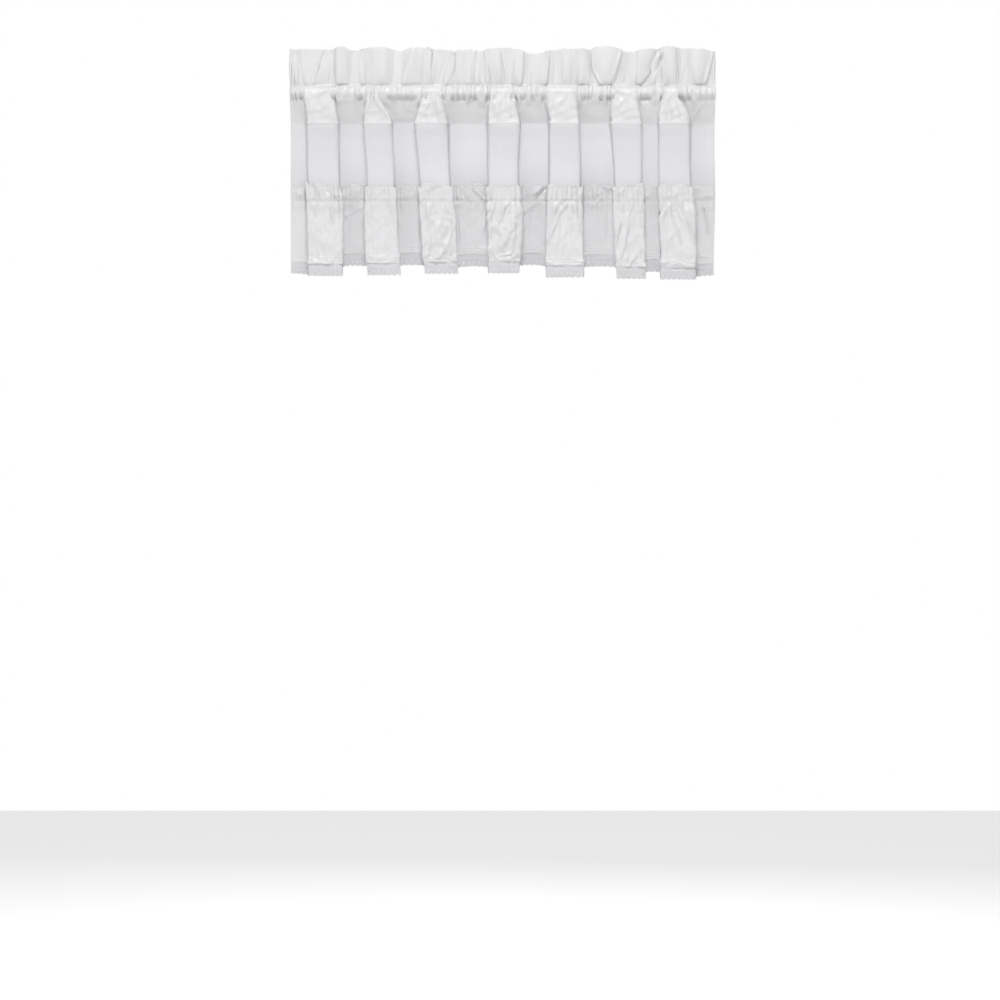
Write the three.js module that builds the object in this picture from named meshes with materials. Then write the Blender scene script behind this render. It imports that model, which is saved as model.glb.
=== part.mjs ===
// A ruffled rod-pocket window valance, as it hangs gathered on its rod.
// Millimetres, +Z up, +X to the right as seen from the room, and the room on the -Y side.
// The origin is on the axis of the rod that the pocket takes, at the middle of the valance.
import * as THREE from "three";
import { mergeVertices } from "three/addons/utils/BufferGeometryUtils.js";

// Driving sizes
const ROD_RADIUS = 8; // a 16 mm (5/8 inch) rod
const POCKET_SLACK = 1.2; // between the rod and the cloth around it
const HALF_WIDTH = 300; // of the valance, gathered on the rod
const HALF_HEM = 302; // and at the hem
const CLOTH = 1.2; // one layer of cloth; the heading is two
const GAP = 0.3; // between pieces that are sewn together
const POCKET_SEAM = -42; // height of the seam that closes the pocket below
const PANEL_HEM = -166; // lower edge of the panel, behind the ruffle
const RUFFLE_TOP = -128; // upper edge of the ruffle's own small frill
const RUFFLE_SEAM = -152; // where the ruffle is gathered onto the panel
const LACE_WIDTH = 17; // edging below the ruffle's hem
const LACE = 1; // thickness of the edging
const SEAM_WIDTH = 2; // of doubled cloth below the pocket
const STEEPNESS = 4; // of the sides of a fold
const FRILL_STEEPNESS = 1.8; // and of the frill's
const FRONT_LOOP = 2.5; // how far a fold stands off the rod in front
const BACK_LOOP = 3; // and a hollow behind it
const ROD_GATHER = 0.7; // small gathers on the rod
const FRILL_GATHER = 1; // and in the frill
const FRILL_WAVE = 5; // of those, along the rod for one turn in radians
const FRILL_DRIFT = 17; // and of what makes them uneven
const FRILL_RISE = 0.6; // power of the height by which the frill's folds open above the rod

// Steps of the grids that the cloth is worked out on
const HEADING_COLUMNS = 104;
const BODY_COLUMNS = 120;
const ARC_STEPS = 3;
const FALL_STEPS = 2;
const FRILL_STEPS = 5;
const PANEL_STEPS = 5;
const SKIRT_STEPS = 7;
const HEAD_STEPS = 2;
const RUN_STEPS = 3000; // along which the run of the cloth is added up
const MERGE = 1e-3; // points closer than this are one

// The seven big folds of the body. rodLeft and rodRight are a fold's edges on the rod, left and right at the
// pocket's seam, hemLeft and hemRight at the hem, curlLeft and curlRight how far each side curls, full its
// depth against an even fold, and hem the height of its lower edge.
const FOLDS = [
  { rodLeft: -280, rodRight: -239, left: -277, right: -232, hemLeft: -275, hemRight: -227, curlLeft: 0.3, curlRight: 1, full: 0.92, hem: -258 },
  { rodLeft: -190, rodRight: -176, left: -196, right: -157, hemLeft: -192, hemRight: -147, curlLeft: 1, curlRight: 0.7, full: 0.9, hem: -257 },
  { rodLeft: -111, rodRight: -87, left: -124, right: -78, hemLeft: -111, hemRight: -65, curlLeft: 1, curlRight: 1, full: 1, hem: -255 },
  { rodLeft: -18, rodRight: 14, left: -21, right: 24, hemLeft: -19, hemRight: 25, curlLeft: 1, curlRight: 1, full: 1.1, hem: -254 },
  { rodLeft: 60, rodRight: 102, left: 66, right: 108, hemLeft: 63, hemRight: 114, curlLeft: 0.9, curlRight: 1, full: 1.06, hem: -260 },
  { rodLeft: 154, rodRight: 188, left: 153, right: 196, hemLeft: 160, hemRight: 201, curlLeft: 1, curlRight: 0.6, full: 1, hem: -262 },
  { rodLeft: 225, rodRight: 246, left: 220, right: 264, hemLeft: 224, hemRight: 272, curlLeft: 0.3, curlRight: 1, full: 0.95, hem: -263 },
];

// The hollows on both sides of those folds, from the left end to the right end.
const HOLLOWS = [
  { full: 0.8, hem: -257 },
  { full: 0.95, hem: -246 },
  { full: 1.0, hem: -245 },
  { full: 1.1, hem: -247 },
  { full: 0.95, hem: -245 },
  { full: 1.05, hem: -247 },
  { full: 0.9, hem: -254 },
  { full: 1.2, hem: -260 },
];

// The twelve folds of the frill that stands above the rod. left and right are the edges at its foot, topLeft
// and topRight at its upper edge, full the depth, top the height of a fold and dip of the hollow after it.
const FRILL_FOLDS = [
  { left: -282, right: -268, topLeft: -290, topRight: -252, full: 1.2, top: 60, dip: 59 },
  { left: -235, right: -223, topLeft: -235, topRight: -220, full: 0.7, top: 64, dip: 58 },
  { left: -193, right: -166, topLeft: -197, topRight: -160, full: 1.1, top: 63, dip: 58 },
  { left: -142, right: -104, topLeft: -135, topRight: -103, full: 1.0, top: 63, dip: 60 },
  { left: -99, right: -86, topLeft: -97, topRight: -72, full: 0.9, top: 60, dip: 56 },
  { left: -65, right: -43, topLeft: -66, topRight: -41, full: 0.8, top: 60, dip: 58 },
  { left: -18, right: 22, topLeft: -24, topRight: 26, full: 1.1, top: 62, dip: 54 },
  { left: 61, right: 117, topLeft: 64, topRight: 118, full: 0.9, top: 61, dip: 59 },
  { left: 137, right: 153, topLeft: 128, topRight: 165, full: 1.3, top: 65, dip: 56 },
  { left: 187, right: 197, topLeft: 191, topRight: 216, full: 1.0, top: 61, dip: 60 },
  { left: 227, right: 246, topLeft: 223, topRight: 246, full: 0.8, top: 64, dip: 61 },
  { left: 272, right: 281, topLeft: 264, topRight: 287, full: 1.1, top: 60, dip: 57 },
];

// How far the cloth comes forward in a fold and goes back in a hollow at each height, and how far the sides of
// a fold curl over the hollows beside it.
const LEVELS = [
  { z: -265, forward: 17, back: 12, curl: 9 },
  { z: -205, forward: 15, back: 11, curl: 9 },
  { z: -152, forward: 13, back: 10, curl: 9 },
  { z: -100, forward: 12, back: 9, curl: 9 },
  { z: -60, forward: 12, back: 8.5, curl: 8 },
  { z: -42, forward: 12, back: 8, curl: 4.5 },
  { z: 0, forward: 11, back: 5, curl: 2 },
];
const FRILL = { forward: 4, back: 3.5, curl: 2.5 }; // the same for the upper edge of the frill

// How far the middle of the ruffle's cloth stands off the panel's, and the depth of its gathers.
const RUFFLE_SHAPE = [
  { z: -262, off: 2.6, gather: 0.8 },
  { z: -230, off: 2.8, gather: 1 },
  { z: -190, off: 2.9, gather: 1 },
  { z: -164, off: 2.7, gather: 0.8 },
  { z: -152, off: 2, gather: 0.2 },
  { z: -140, off: 2.8, gather: 0.8 },
  { z: -128, off: 3.4, gather: 1.2 },
];
const FIRST_DIP = 60; // height of the frill at its left end
const GATHERS = 4.1; // turn of the small gathers to one of the body's folds
const GATHER_DRIFT = 0.8; // turn of what makes them uneven
const HOLLOW_GATHER = 0.5; // their depth in a hollow, against 1 on a fold

const HALF_TURN = Math.PI; // phase of one fold or one hollow

// A smooth curve through the points (xs, ys), read at x: a cubic between two points. The slope at a point is
// the harmonic mean of those on both sides, and level at a peak, so the curve never overshoots.
function through(xs, ys, x) {
  const last = xs.length - 1;
  const chord = (i) => (ys[i + 1] - ys[i]) / (xs[i + 1] - xs[i]);
  const slope = (i) => {
    const before = chord(Math.max(i - 1, 0));
    const after = chord(Math.min(i, last - 1));
    return before * after > 0 ? (2 * before * after) / (before + after) : 0;
  };
  let i = 0;
  while (i < last - 1 && x > xs[i + 1]) i += 1;
  const span = xs[i + 1] - xs[i];
  const t = THREE.MathUtils.clamp((x - xs[i]) / span, 0, 1);
  const u = 1 - t;
  const ends = ys[i] * u * u * (1 + 2 * t) + ys[i + 1] * t * t * (1 + 2 * u);
  return ends + span * (slope(i) * t * u * u - slope(i + 1) * t * t * u);
}

// The phase of each edge of a row of folds. The cloth starts in the middle of a hollow, at phase 0, and ends in
// the middle of another.
const edgePhases = (folds) => [
  0,
  ...folds.flatMap((_, i) => [(2 * i + 0.5) * HALF_TURN, (2 * i + 1.5) * HALF_TURN]),
  2 * folds.length * HALF_TURN,
];

const edgePlaces = (folds, left, right, end) => [
  -end,
  ...folds.flatMap((fold) => [fold[left], fold[right]]),
  end,
];

const BODY_PHASES = edgePhases(FOLDS);
const BODY_PLACES = edgePlaces(FOLDS, "left", "right", HALF_WIDTH);
const shiftsTo = (places) => places.map((x, i) => x - BODY_PLACES[i]);
const ROD_SHIFTS = shiftsTo(edgePlaces(FOLDS, "rodLeft", "rodRight", HALF_WIDTH));
const HEM_SHIFTS = shiftsTo(edgePlaces(FOLDS, "hemLeft", "hemRight", HALF_HEM));
const SIDE_CURLS = [1, ...FOLDS.flatMap((fold) => [fold.curlLeft, fold.curlRight]), 1];
const FRILL_PHASES = edgePhases(FRILL_FOLDS);
const FRILL_DIPS = [FIRST_DIP, ...FRILL_FOLDS.map((fold) => fold.dip)];
const FRILL_ON_ROD = edgePlaces(FRILL_FOLDS, "left", "right", HALF_WIDTH);
const FRILL_AT_TOP = edgePlaces(FRILL_FOLDS, "topLeft", "topRight", HALF_WIDTH);

// The swing of a fold from -1 in front to +1 behind, with a flat front and back and steep sides.
const swing = (phase, steepness = STEEPNESS) => Math.tanh(steepness * Math.cos(phase)) / Math.tanh(steepness);

// 1 on the front of a fold and 0 in a hollow.
const foldness = (phase, steepness = STEEPNESS) => (1 - swing(phase, steepness)) / 2;

// A value that is `hollows` in the middle of a hollow and `folds` in the middle of a fold, and eases between.
function alongFolds(phase, folds, hollows, steepness = STEEPNESS) {
  const k = Math.floor(phase / (2 * HALF_TURN) + 0.5);
  const side = phase < 2 * HALF_TURN * k ? k - 1 : k;
  const fold = folds[THREE.MathUtils.clamp(side, 0, folds.length - 1)];
  const hollow = hollows[THREE.MathUtils.clamp(k, 0, hollows.length - 1)];
  return THREE.MathUtils.lerp(hollow, fold, foldness(phase, steepness));
}

// A column of the cloth that lies at x at the pocket's seam: its phase in the body's folds, and its place and
// phase in the frill's.
function column(x) {
  const phase = through(BODY_PLACES, BODY_PHASES, x);
  const frillX = x + through(BODY_PHASES, ROD_SHIFTS, phase);
  return { x, phase, frillX, frillPhase: through(FRILL_ON_ROD, FRILL_PHASES, frillX) };
}

// Columns evenly spaced along the cloth. Each level turns a column into a point, its run is added up, and the
// mean of the levels' runs is shared out evenly.
function columns(count, ...levels) {
  const fine = Array.from({ length: RUN_STEPS + 1 }, (_, i) =>
    column(THREE.MathUtils.lerp(-HALF_WIDTH, HALF_WIDTH, i / RUN_STEPS)),
  );
  const runs = levels.map((level) => {
    const points = fine.map(level);
    let sum = 0;
    const run = points.map((point, i) => (sum += point.distanceTo(points[Math.max(i - 1, 0)])));
    return run.map((length) => length / sum);
  });
  const run = fine.map((_, i) => runs.reduce((sum, one) => sum + one[i], 0) / runs.length);
  let j = 1;
  return Array.from({ length: count + 1 }, (_, i) => {
    while (j < RUN_STEPS && run[j] < i / count) j += 1;
    const part = THREE.MathUtils.clamp((i / count - run[j - 1]) / (run[j] - run[j - 1]), 0, 1);
    return column(THREE.MathUtils.lerp(fine[j - 1].x, fine[j].x, part));
  });
}

// The small gathers across the cloth, a little uneven, from -1 to 1 on the folds and shallower in the hollows.
function gather({ phase }) {
  const depth = THREE.MathUtils.lerp(HOLLOW_GATHER, 1, foldness(phase));
  return depth * Math.sin(GATHERS * phase + Math.sin(GATHER_DRIFT * phase));
}

const atLevel = (z, name) => through(LEVELS.map((level) => level.z), LEVELS.map((level) => level[name]), z);

// The body's cloth at height z: the folds spread from the rod to the pocket's seam and on to the hem, and
// deepen, and their sides curl over the hollows.
function bodyPoint({ x, phase }, z) {
  const shift =
    through(BODY_PHASES, ROD_SHIFTS, phase) * THREE.MathUtils.smoothstep(z, POCKET_SEAM, 0) +
    through(BODY_PHASES, HEM_SHIFTS, phase) *
      THREE.MathUtils.clamp((z - POCKET_SEAM) / (LEVELS[0].z - POCKET_SEAM), 0, 1);
  const curl = atLevel(z, "curl") * through(BODY_PHASES, SIDE_CURLS, phase);
  const full = alongFolds(phase, FOLDS.map((fold) => fold.full), HOLLOWS.map((hollow) => hollow.full));
  const forward = atLevel(z, "forward");
  const back = atLevel(z, "back");
  const depth = ((back - forward) / 2 + ((back + forward) / 2) * swing(phase)) * full;
  return new THREE.Vector3(x + shift + curl * Math.sin(2 * phase), depth, z);
}

// The way that the face of the cloth looks at each point of a grid, whose rows run from below upwards.
function facing(grid) {
  const last = grid.length - 1;
  return grid.map((row, j) =>
    row.map((_, i) => {
      const across = row[Math.min(i + 1, row.length - 1)].clone().sub(row[Math.max(i - 1, 0)]);
      const up = grid[Math.min(j + 1, last)][i].clone().sub(grid[Math.max(j - 1, 0)][i]);
      return across.cross(up).normalize();
    }),
  );
}

// The same with the tilt taken out, so that a seam or hem keeps its height when the cloth gets its thickness.
const facingLevel = (grid) => facing(grid).map((row) => row.map((normal) => normal.setZ(0).normalize()));

const offset = (grid, normals, by) =>
  grid.map((row, j) => row.map((point, i) => point.clone().addScaledVector(normals[j][i], by)));

// The two triangles of each cell of a grid of points. They face the way that `facing` gives, or, turned, away.
function skin(grid, turned = false) {
  const points = [];
  const add = (a, b, c) => {
    const flat = a.distanceTo(b) < MERGE || b.distanceTo(c) < MERGE || c.distanceTo(a) < MERGE;
    if (!flat) points.push(...(turned ? [a, c, b] : [a, b, c]));
  };
  for (let j = 0; j + 1 < grid.length; j += 1)
    for (let i = 0; i + 1 < grid[j].length; i += 1) {
      add(grid[j][i], grid[j][i + 1], grid[j + 1][i + 1]);
      add(grid[j][i], grid[j + 1][i + 1], grid[j + 1][i]);
    }
  return points;
}

// The two strips that close a cloth at its left and right ends, between the ends of its front and its back.
function endStrips(front, back) {
  const left = front.map((row, j) => [back[j].at(0), row.at(0)]);
  const right = front.map((row, j) => [row.at(-1), back[j].at(-1)]);
  return [...skin(left), ...skin(right)];
}

const solid = (points) => mergeVertices(new THREE.BufferGeometry().setFromPoints(points), MERGE);

// One layer of cloth: its front and back on both sides of a middle grid, and its four edges.
function sheet(middle, thickness) {
  const normals = facingLevel(middle);
  const front = offset(middle, normals, thickness / 2);
  const back = offset(middle, normals, -thickness / 2);
  return solid([
    ...skin(front),
    ...skin(back, true),
    ...skin([front.at(-1), back.at(-1)]),
    ...skin([back[0], front[0]]),
    ...endStrips(front, back),
  ]);
}

// Heading: cloth turned down to the back and sewn through twice, so that the rod runs between its two walls
// and the frill, of both layers together, stands above.

// One wall of the pocket in a section across the rod, from the seam up to the top of the rod. side is -1 for
// the front wall and 1 for the back one. The wall hangs straight from where it leaves the rod, or the wider
// loop that a fold makes around it, down to the seam. It is worked out in a plane squeezed until that loop
// is round.
function pocketWall(cloth, side) {
  const radius = ROD_RADIUS + POCKET_SLACK;
  const sections = cloth.map((c) => {
    const stands = (1 + side * swing(c.phase)) / 2;
    const across = radius + stands * (side < 0 ? FRONT_LOOP : BACK_LOOP) + ROD_GATHER * (1 + gather(c));
    const squeeze = radius / across;
    const seam = side * bodyPoint(c, POCKET_SEAM).y * squeeze;
    const leaves = Math.atan2(POCKET_SEAM, seam) + Math.acos(radius / Math.hypot(seam, POCKET_SEAM));
    const points = [];
    for (let k = 0; k < FALL_STEPS; k += 1)
      points.push([
        THREE.MathUtils.lerp(seam, radius * Math.cos(leaves), k / FALL_STEPS),
        THREE.MathUtils.lerp(POCKET_SEAM, radius * Math.sin(leaves), k / FALL_STEPS),
      ]);
    for (let k = 0; k <= ARC_STEPS; k += 1) {
      const angle = THREE.MathUtils.lerp(leaves, Math.PI / 2, k / ARC_STEPS);
      points.push([radius * Math.cos(angle), radius * Math.sin(angle)]);
    }
    return points.map(([y, z]) => new THREE.Vector3(bodyPoint(c, z).x, (side * y) / squeeze, z));
  });
  return sections[0].map((_, j) => sections.map((points) => points[j]));
}

// The frill at a share h of its height. It leaves the rod straight and takes over its own folds as it rises.
// Its small gathers are deepest half way up.
function frillPoint(c, h) {
  const evenly = FRILL_DIPS.map(() => 1);
  const top = alongFolds(c.frillPhase, FRILL_FOLDS.map((fold) => fold.top), FRILL_DIPS, FRILL_STEEPNESS);
  const full = alongFolds(c.frillPhase, FRILL_FOLDS.map((fold) => fold.full), evenly, FRILL_STEEPNESS);
  const { forward, back, curl } = FRILL;
  const depth = ((back - forward) / 2 + ((back + forward) / 2) * swing(c.frillPhase, FRILL_STEEPNESS)) * full;
  return new THREE.Vector3(
    THREE.MathUtils.lerp(c.frillX, through(FRILL_PHASES, FRILL_AT_TOP, c.frillPhase), h) +
      curl * h * Math.sin(2 * c.frillPhase),
    depth * h ** FRILL_RISE +
      FRILL_GATHER * 4 * h * (1 - h) * Math.sin(c.frillX / FRILL_WAVE + Math.sin(c.frillX / FRILL_DRIFT)),
    THREE.MathUtils.lerp(ROD_RADIUS + POCKET_SLACK + CLOTH, top, h),
  );
}

function heading() {
  const cloth = columns(
    HEADING_COLUMNS,
    (c) => bodyPoint(c, POCKET_SEAM),
    (c) => new THREE.Vector3(c.x, (FRILL.forward * swing(c.frillPhase)) / 2, 0),
  );
  const frontLining = pocketWall(cloth, -1);
  const backLining = pocketWall(cloth, 1);
  const frontWall = offset(frontLining, facing(frontLining), CLOTH);
  const backWall = offset(backLining, facing(backLining), -CLOTH);

  const frill = Array.from({ length: FRILL_STEPS + 1 }, (_, k) =>
    cloth.map((c) => frillPoint(c, k / FRILL_STEPS)),
  );
  const frillFacing = facing(frill);
  const seam = [POCKET_SEAM - SEAM_WIDTH, POCKET_SEAM].map((z) => cloth.map((c) => bodyPoint(c, z)));
  const seamFacing = facingLevel(seam);

  const front = [
    offset(seam, seamFacing, CLOTH)[0],
    ...frontWall,
    ...offset(frill, frillFacing, CLOTH).slice(1),
  ];
  const back = [
    offset(seam, seamFacing, -CLOTH)[0],
    ...backWall,
    ...offset(frill, frillFacing, -CLOTH).slice(1),
  ];
  const seamMiddle = [seam[0], frontLining[0]];
  const crown = [frontLining.at(-1), backLining.at(-1)];
  return solid([
    ...skin(front),
    ...skin(back, true),
    ...skin(frontLining, true),
    ...skin(backLining),
    ...skin([front.at(-1), back.at(-1)]),
    ...skin([back[0], seamMiddle[0], front[0]]),
    ...endStrips(frontWall, frontLining),
    ...endStrips(backLining, backWall),
    ...endStrips(front.slice(0, 2), seamMiddle),
    ...endStrips(seamMiddle, back.slice(0, 2)),
    ...endStrips([crown[0], frontWall.at(-1)], [crown[1], backWall.at(-1)]),
    ...endStrips(front.slice(frontWall.length), back.slice(backWall.length)),
  ]);
}

// Columns of the pieces below the pocket, spaced on the panel's hem.
const bodyColumns = () => columns(BODY_COLUMNS, (c) => bodyPoint(c, PANEL_HEM));

// Panel: the plain body of the valance. Its own hem hides behind the ruffle.
function panel() {
  const heights = Array.from({ length: PANEL_STEPS + 1 }, (_, j) =>
    THREE.MathUtils.lerp(PANEL_HEM, POCKET_SEAM - SEAM_WIDTH - GAP, j / PANEL_STEPS),
  );
  const cloth = bodyColumns();
  return sheet(heights.map((z) => cloth.map((c) => bodyPoint(c, z))), CLOTH);
}

// The face of the ruffle's cloth: the body's, moved off it by what RUFFLE_SHAPE says. In front and behind it
// moves towards the room, and at the sides of a fold sideways, out of the fold.
function rufflePoint(c, z) {
  const heights = RUFFLE_SHAPE.map((row) => row.z);
  const off = through(heights, RUFFLE_SHAPE.map((row) => row.off), z);
  const depth = through(heights, RUFFLE_SHAPE.map((row) => row.gather), z);
  const by = off + depth * gather(c);
  const point = bodyPoint(c, z);
  return point.set(point.x - by * Math.sin(c.phase), point.y - by * swing(c.phase) ** 2, z);
}

const hemHeight = (c) =>
  alongFolds(c.phase, FOLDS.map((fold) => fold.hem), HOLLOWS.map((hollow) => hollow.hem)) + LACE_WIDTH;

// Ruffle: a longer strip gathered onto the panel, with a narrow frill above its seam.
function ruffle() {
  const cloth = bodyColumns();
  const skirt = Array.from({ length: SKIRT_STEPS }, (_, j) =>
    cloth.map((c) => rufflePoint(c, THREE.MathUtils.lerp(hemHeight(c), RUFFLE_SEAM, j / SKIRT_STEPS))),
  );
  const head = Array.from({ length: HEAD_STEPS + 1 }, (_, j) =>
    cloth.map((c) => rufflePoint(c, THREE.MathUtils.lerp(RUFFLE_SEAM, RUFFLE_TOP, j / HEAD_STEPS))),
  );
  return sheet([...skirt, ...head], CLOTH);
}

// Lace edging: sewn below the ruffle's hem.
function laceEdging() {
  const edges = [-LACE_WIDTH, -GAP];
  const cloth = bodyColumns();
  return sheet(edges.map((drop) => cloth.map((c) => rufflePoint(c, hemHeight(c) + drop))), LACE);
}

function piece(name, geometry, color, roughness) {
  const mesh = new THREE.Mesh(geometry, new THREE.MeshStandardMaterial({ color, roughness, metalness: 0 }));
  mesh.name = name;
  return mesh;
}

const valance = new THREE.Group();
valance.add(
  piece("heading", heading(), 0xe4e4e6, 0.85),
  piece("panel", panel(), 0xe6e6e8, 0.85),
  piece("ruffle", ruffle(), 0xe2e2e4, 0.85),
  piece("lace_edging", laceEdging(), 0xdcdcde, 0.9),
);
export default valance;
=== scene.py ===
"""A ruffled rod-pocket window valance, hanging in the gathers of its rod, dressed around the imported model.

The cloth's surfaces are worked out in millimetres, with the origin on the axis of the rod, +X to the right as
seen from the room, +Z up and the room on the -Y side. They go into their meshes in metres.
"""

import bpy
import numpy as np
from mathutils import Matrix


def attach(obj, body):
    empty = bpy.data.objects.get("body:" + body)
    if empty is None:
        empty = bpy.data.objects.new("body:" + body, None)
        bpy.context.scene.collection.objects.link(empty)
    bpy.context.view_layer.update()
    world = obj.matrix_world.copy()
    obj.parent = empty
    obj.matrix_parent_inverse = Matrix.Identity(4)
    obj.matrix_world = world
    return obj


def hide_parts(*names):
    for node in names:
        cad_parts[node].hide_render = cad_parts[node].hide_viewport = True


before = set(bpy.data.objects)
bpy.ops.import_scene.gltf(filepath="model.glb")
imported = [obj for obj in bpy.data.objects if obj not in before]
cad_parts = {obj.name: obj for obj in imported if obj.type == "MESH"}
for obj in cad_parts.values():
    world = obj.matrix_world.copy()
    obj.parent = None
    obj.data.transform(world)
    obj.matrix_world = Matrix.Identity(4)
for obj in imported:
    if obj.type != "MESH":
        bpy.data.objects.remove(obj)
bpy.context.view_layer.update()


# ---------------------------------------------------------------------------------------------------------
# Camera: straight on, four metres into the room and level with the middle of the valance, tilted down so
# that the valance hangs near the top of the square frame.
CAMERA_PLACE = (-0.0039, -4.0, -0.090)
CAMERA_TILT = 6.98  # degrees below the horizon
CAMERA_LENS = 100.9  # in millimetres
CAMERA_SENSOR = 36.0  # its width, in millimetres

camera = bpy.data.objects.new("camera", bpy.data.cameras.new("camera"))
camera.data.lens = CAMERA_LENS
camera.data.sensor_width = CAMERA_SENSOR
camera.location = CAMERA_PLACE
camera.rotation_euler = (np.radians(90 - CAMERA_TILT), 0, 0)
bpy.context.collection.objects.link(camera)
bpy.context.scene.camera = camera


# ---------------------------------------------------------------------------------------------------------
# Studio: a white room that gives some light from everywhere, soft lamps above the valance, in front of it, at
# both sides and behind it, and a pale floor that glows a little.
FLOOR_HEIGHT = -2.1
FLOOR_SIDE = 9.0
FLOOR_WHITE = (0.9, 0.9, 0.9, 1)
FLOOR_ROUGHNESS = 0.9
FLOOR_GLOW = 0.35
WHITE = (1, 1, 1, 1)
ROOM_LIGHT = 0.44  # of the white that the walls show
LAMPS = [  # name, place, side and watts
    ("top_lamp", (0.0, -1.7, 2.1), 0.6, 48.0),
    ("front_lamp", (0.0, -4.2, 0.2), 0.8, 20.0),
    ("left_lamp", (-2.7, -1.9, 0.5), 0.7, 14.0),
    ("right_lamp", (2.7, -1.9, 0.5), 0.7, 5.0),
    ("back_lamp", (0.2, 3.4, 0.6), 2.0, 80.0),
]

scene = bpy.context.scene
scene.view_settings.view_transform = "Standard"
scene.world = bpy.data.worlds.new("studio")
scene.world.use_nodes = True
room = scene.world.node_tree
seen = room.nodes.new("ShaderNodeLightPath").outputs["Is Camera Ray"]
brightness = room.nodes.new("ShaderNodeMapRange")
brightness.inputs["To Min"].default_value = ROOM_LIGHT
brightness.inputs["To Max"].default_value = 1.0
room.links.new(seen, brightness.inputs["Value"])
room.links.new(brightness.outputs["Result"], room.nodes["Background"].inputs["Strength"])
room.nodes["Background"].inputs["Color"].default_value = WHITE

for name, place, side, watts in LAMPS:
    lamp = bpy.data.objects.new(name, bpy.data.lights.new(name, "AREA"))
    lamp.data.size = side
    lamp.data.energy = watts
    lamp.location = place
    lamp.rotation_euler = (-lamp.location).to_track_quat("-Z", "Y").to_euler()
    bpy.context.collection.objects.link(lamp)

floor_mesh = bpy.data.meshes.new("floor")
half = FLOOR_SIDE / 2
corners = [(-half, -half), (half, -half), (half, half), (-half, half)]
floor_mesh.from_pydata([(x, y, FLOOR_HEIGHT) for x, y in corners], [], [(0, 1, 2, 3)])
floor = bpy.data.objects.new("floor", floor_mesh)
floor_paint = bpy.data.materials.new("floor_paint")
floor_paint.use_nodes = True
paint = floor_paint.node_tree.nodes["Principled BSDF"].inputs
paint["Base Color"].default_value = FLOOR_WHITE
paint["Roughness"].default_value = FLOOR_ROUGHNESS
paint["Emission Color"].default_value = WHITE
paint["Emission Strength"].default_value = FLOOR_GLOW
floor_mesh.materials.append(floor_paint)
bpy.context.collection.objects.link(floor)


# ---------------------------------------------------------------------------------------------------------
# Heading: white cotton turned down to the back and sewn through twice. The rod runs in the pocket between its
# two walls, and the frill, of both layers together, stands above. The cloth bunches in small puckers where
# the rod carries it, smooths out over the big folds, and ends below in a turned edge on the panel.
ROD_RADIUS = 8.0
POCKET_SLACK = 1.2  # between the rod and the cloth around it
HALF_WIDTH = 300.0  # of the valance, gathered on the rod
HALF_HEM = 302.0  # and at the hem
CLOTH = 0.6  # thickness of the cotton
POCKET_SEAM = -42.0  # height of the seam that closes the pocket below
SEAM_WIDTH = 2.0
STEEPNESS = 4.6  # of the sides of a fold
FRILL_STEEPNESS = 0.9
FRONT_LOOP = 2.5  # how far a fold stands off the rod in front
BACK_LOOP = 3.0  # and a hollow behind it
HEADING_FLAT = (0.94, 0.222)  # width and length of the cut, in metres
HEADING_COLUMNS = 600

# The seven big folds: left and right edge on the rod, at the pocket's seam and at the hem, how far each of
# the two sides curls, depth against an even fold, and height of the lower edge. HOLLOWS has the last two for
# the hollows on both sides of them.
FOLDS = np.array([
    (-280, -239, -277, -232, -272, -230, 0.8, 1.0, 0.92, -258),
    (-190, -176, -196, -157, -186, -150, 1.0, 0.9, 0.90, -257),
    (-111, -87, -124, -78, -104, -68, 1.0, 1.0, 1.00, -255),
    (-18, 14, -21, 24, -16, 19, 1.0, 1.0, 1.10, -254),
    (60, 102, 66, 108, 64, 111, 0.9, 1.0, 1.06, -260),
    (154, 188, 153, 196, 166, 197, 1.0, 0.8, 1.00, -262),
    (225, 246, 220, 264, 227, 273, 0.8, 1.0, 0.95, -263),
], float)
HOLLOWS = np.array([
    (0.80, -257), (0.95, -246), (1.00, -245), (1.10, -247),
    (0.95, -245), (1.05, -247), (0.10, -254), (1.20, -260),
], float)

# The twelve folds of the frill: left and right edge at the foot, the same at the upper edge, depth, height of
# the fold, and height of the hollow after it.
FRILL_FOLDS = np.array([
    (-282, -268, -290, -252, 0.8, 60, 59),
    (-235, -223, -235, -220, 0.7, 64, 58),
    (-193, -166, -197, -160, 1.1, 63, 58),
    (-142, -104, -135, -103, 1.0, 63, 60),
    (-99, -86, -97, -72, 0.9, 60, 56),
    (-65, -43, -66, -41, 0.8, 60, 58),
    (-18, 22, -24, 26, 1.1, 62, 54),
    (61, 117, 64, 118, 0.9, 61, 59),
    (137, 153, 128, 165, 0.8, 64, 56),
    (187, 197, 191, 216, 0.8, 61, 60),
    (227, 246, 223, 246, 0.8, 64, 61),
    (272, 281, 264, 287, 0.7, 60, 57),
], float)
FIRST_DIP = 60
WANDER = 1.6  # of the folds' edges, to and fro as they fall
WANDER_FULL = -110.0  # height from where down they wander fully
WANDER_WAVE = 31.0
GATHERS = 4.1  # to a turn of the phase, and how fast they grow uneven
GATHER_DRIFT = 0.8
FINE_PLACES = 12001  # along the rod, to add up the run of the cloth
SEAM_HALF = 0.9  # between the middle of a layer and the middle of the seam

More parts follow.
